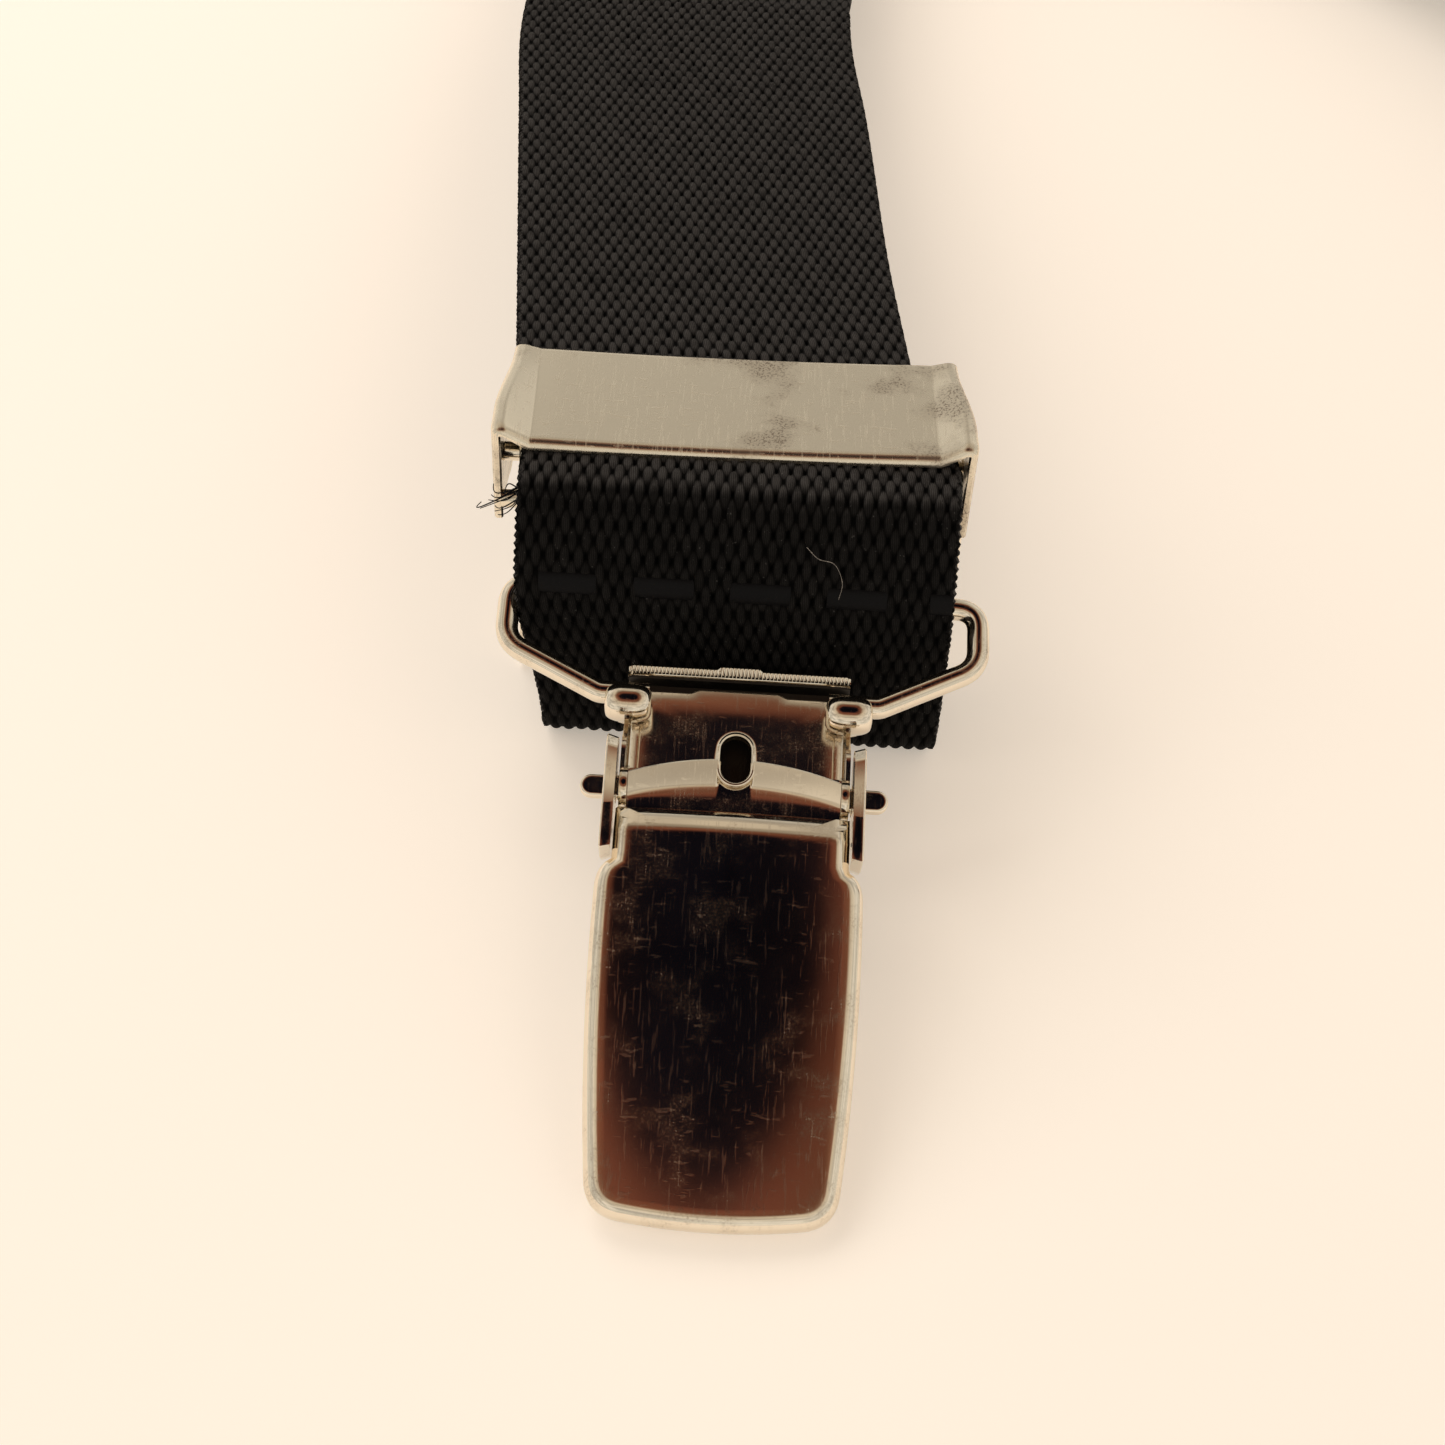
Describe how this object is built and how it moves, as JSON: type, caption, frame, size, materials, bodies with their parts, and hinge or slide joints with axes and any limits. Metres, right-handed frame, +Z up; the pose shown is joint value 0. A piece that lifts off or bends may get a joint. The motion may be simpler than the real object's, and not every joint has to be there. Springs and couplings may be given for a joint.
{
  "type": "suspenders",
  "caption": "Y-back elastic suspenders with slide adjusters, wire bails and sprung waistband clips, folded and laid on a table.",
  "frame": {"origin": "middle of the footprint, on the table that the folded suspenders lie on", "axes": "+Z up from the table, -Y toward the clip of the left front strap, which runs along Y"},
  "size_m": [0.2578, 0.4672, 0.0246],
  "materials": {
    "elastic_webbing": "black woven elastic, dull with fine shiny threads",
    "bright_nickel": "polished nickel with a warm tint",
    "satin_nickel": "satin nickel with a warm tint, mottled by wear",
    "spring_steel": "bare spring steel",
    "patch_leather": "black smooth leather",
    "grip_rubber": "matt black"
  },
  "bodies": {
    "straps": {"left_front_strap": "elastic_webbing", "right_front_strap": "elastic_webbing", "back_strap": "elastic_webbing", "patch_lining": "patch_leather", "patch_front": "patch_leather"},
    "left_adjuster": {"left_adjuster_plate": "satin_nickel", "left_adjuster_rivet_a": "bright_nickel", "left_adjuster_rivet_b": "bright_nickel", "left_adjuster_tail_bar": "satin_nickel", "left_strap_end": "elastic_webbing"},
    "left_lock": {"left_adjuster_lock_lever": "bright_nickel"},
    "left_bail": {"left_clip_bail": "bright_nickel"},
    "left_clip": {"left_clip_body": "bright_nickel", "left_clip_spring": "spring_steel", "left_clip_grip_pad": "grip_rubber", "left_clip_jaw_pin": "satin_nickel"},
    "left_lever": {"left_clip_lever": "bright_nickel"},
    "left_jaw": {"left_clip_rear_jaw": "satin_nickel"},
    "right_adjuster": {"right_adjuster_plate": "satin_nickel", "right_adjuster_rivet_a": "bright_nickel", "right_adjuster_rivet_b": "bright_nickel", "right_adjuster_tail_bar": "satin_nickel", "right_strap_end": "elastic_webbing"},
    "right_lock": {"right_adjuster_lock_lever": "bright_nickel"},
    "right_bail": {"right_clip_bail": "bright_nickel"},
    "right_clip": {"right_clip_body": "bright_nickel", "right_clip_spring": "spring_steel", "right_clip_grip_pad": "grip_rubber", "right_clip_jaw_pin": "satin_nickel"},
    "right_lever": {"right_clip_lever": "bright_nickel"},
    "right_jaw": {"right_clip_rear_jaw": "satin_nickel"},
    "back_bail": {"back_clip_bail": "bright_nickel"},
    "back_clip": {"back_clip_body": "bright_nickel", "back_clip_spring": "spring_steel", "back_clip_grip_pad": "grip_rubber", "back_clip_jaw_pin": "satin_nickel"},
    "back_lever": {"back_clip_lever": "bright_nickel"},
    "back_jaw": {"back_clip_rear_jaw": "satin_nickel"}
  },
  "joints": [
    {"name": "left_adjuster_slide", "type": "slide", "parent": "straps", "child": "left_adjuster", "axis": [-0.0933, 0.9888, -0.1162], "range_m": [0, 0.04]},
    {"name": "left_lock_lever", "type": "hinge", "parent": "left_adjuster", "child": "left_lock", "pos_m": [-0.05051, -0.17204, 0.01888], "axis": [1, 0, 0], "range_deg": [0, 90]},
    {"name": "left_bail_swing", "type": "hinge", "parent": "straps", "child": "left_bail", "pos_m": [-0.04985, -0.18273, 0.01401], "axis": [-1, 0, 0], "range_deg": [0, 60]},
    {"name": "left_clip_tilt", "type": "hinge", "parent": "left_bail", "child": "left_clip", "pos_m": [-0.04985, -0.19143, 0.01135], "axis": [-1, 0, 0], "range_deg": [0, 45]},
    {"name": "left_clip_lever_open", "type": "hinge", "parent": "left_clip", "child": "left_lever", "pos_m": [-0.04985, -0.20028, 0.01053], "axis": [-1, 0, 0], "range_deg": [0, 95]},
    {"name": "left_jaw_open", "type": "hinge", "parent": "left_clip", "child": "left_jaw", "pos_m": [-0.04985, -0.19421, 0.00538], "axis": [1, 0, 0], "range_deg": [0, 6]},
    {"name": "right_adjuster_slide", "type": "slide", "parent": "straps", "child": "right_adjuster", "axis": [-0.5642, 0.8175, -0.1162], "range_m": [0, 0.04]},
    {"name": "right_lock_lever", "type": "hinge", "parent": "right_adjuster", "child": "right_lock", "pos_m": [0.08414, -0.12304, 0.01888], "axis": [0.766, 0.6428, 0], "range_deg": [0, 90]},
    {"name": "right_bail_swing", "type": "hinge", "parent": "straps", "child": "right_bail", "pos_m": [0.0905, -0.13165, 0.01401], "axis": [-0.766, -0.6428, 0], "range_deg": [0, 60]},
    {"name": "right_clip_tilt", "type": "hinge", "parent": "right_bail", "child": "right_clip", "pos_m": [0.09609, -0.13831, 0.01135], "axis": [-0.766, -0.6428, 0], "range_deg": [0, 45]},
    {"name": "right_clip_lever_open", "type": "hinge", "parent": "right_clip", "child": "right_lever", "pos_m": [0.10178, -0.14509, 0.01053], "axis": [-0.766, -0.6428, 0], "range_deg": [0, 95]},
    {"name": "right_jaw_open", "type": "hinge", "parent": "right_clip", "child": "right_jaw", "pos_m": [0.09788, -0.14044, 0.00538], "axis": [0.766, 0.6428, 0], "range_deg": [0, 6]},
    {"name": "back_bail_swing", "type": "hinge", "parent": "straps", "child": "back_bail", "pos_m": [-0.1033, 0.18246, 0.00771], "axis": [0.9397, 0.342, 0], "range_deg": [0, 60]},
    {"name": "back_clip_tilt", "type": "hinge", "parent": "back_bail", "child": "back_clip", "pos_m": [-0.1064, 0.19096, 0.00675], "axis": [0.9397, 0.342, 0], "range_deg": [0, 45]},
    {"name": "back_clip_lever_open", "type": "hinge", "parent": "back_clip", "child": "back_lever", "pos_m": [-0.10942, 0.19927, 0.00763], "axis": [0.9397, 0.342, 0], "range_deg": [0, 95]},
    {"name": "back_jaw_open", "type": "hinge", "parent": "back_clip", "child": "back_jaw", "pos_m": [-0.10772, 0.1946, 0.00142], "axis": [-0.9397, -0.342, 0], "range_deg": [0, 6]}
  ],
  "couplings": [
    {"joint": "left_jaw_open", "follows": "left_clip_lever_open", "ratio": 0.063},
    {"joint": "right_jaw_open", "follows": "right_clip_lever_open", "ratio": 0.063},
    {"joint": "back_jaw_open", "follows": "back_clip_lever_open", "ratio": 0.063}
  ]
}
